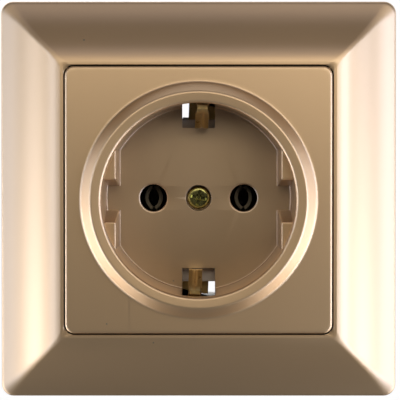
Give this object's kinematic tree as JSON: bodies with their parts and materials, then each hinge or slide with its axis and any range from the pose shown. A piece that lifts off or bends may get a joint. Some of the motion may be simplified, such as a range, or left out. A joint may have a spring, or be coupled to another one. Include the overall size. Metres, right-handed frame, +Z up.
{
  "type": "type f wall socket",
  "caption": "Flush wall socket with a square lacquered cover plate and bevelled frame, a round plug recess with side earth springs, and an insert that claws spread in the wall box.",
  "frame": {"origin": "centre of the pattern of the two side box screw slots, on the wall's surface, where the mounting ring and the frame's back rim lie", "axes": "+Y into the wall, +Z up, +X to the right as seen from the front; the front faces -Y"},
  "size_m": [0.082, 0.0422, 0.082],
  "materials": {
    "lacquered_plastic": "satin champagne metallic lacquer on moulded plastic",
    "white_insulator": "moulded white thermoset, slightly matt",
    "grey_insulator": "moulded grey thermoplastic, matt",
    "brass": "stamped and folded brass strip, slightly tarnished",
    "zinc_steel": "bright zinc plated pressed steel",
    "yellow_zinc_steel": "yellow passivated zinc on steel screws"
  },
  "bodies": {
    "socket": {"outer_frame": "lacquered_plastic", "front_cover": "lacquered_plastic", "cover_screw": "yellow_zinc_steel", "contact_cover": "grey_insulator", "contact_cover_screws": "zinc_steel", "mounting_ring": "zinc_steel", "ring_rivets": "zinc_steel", "socket_base": "white_insulator", "earth_strap": "brass", "earth_terminal": "brass", "left_contact": "brass", "right_contact": "brass", "left_terminal_screw": "yellow_zinc_steel", "right_terminal_screw": "yellow_zinc_steel", "earth_terminal_screw": "yellow_zinc_steel", "left_wire_clamp": "zinc_steel", "right_wire_clamp": "zinc_steel", "earth_wire_clamp": "zinc_steel"},
    "right_screw": {"right_claw_screw": "zinc_steel"},
    "right_spreader": {"right_claw": "zinc_steel"},
    "left_screw": {"left_claw_screw": "zinc_steel"},
    "left_spreader": {"left_claw": "zinc_steel"}
  },
  "joints": [
    {"name": "right_claw_tilt", "type": "hinge", "parent": "socket", "child": "right_screw", "pos_m": [0.0221, -0.001, 0.0075], "axis": [0, 0, -1], "range_deg": [0, 15]},
    {"name": "right_claw_slide", "type": "slide", "parent": "right_screw", "child": "right_spreader", "axis": [0, -1, 0], "range_m": [0, 0.005]},
    {"name": "left_claw_tilt", "type": "hinge", "parent": "socket", "child": "left_screw", "pos_m": [-0.0221, -0.001, -0.0075], "axis": [0, 0, 1], "range_deg": [0, 15]},
    {"name": "left_claw_slide", "type": "slide", "parent": "left_screw", "child": "left_spreader", "axis": [0, -1, 0], "range_m": [0, 0.005]}
  ],
  "couplings": [
    {"joint": "right_claw_slide", "follows": "right_claw_tilt", "m_per_rad": 0.019},
    {"joint": "left_claw_slide", "follows": "left_claw_tilt", "m_per_rad": 0.019}
  ]
}
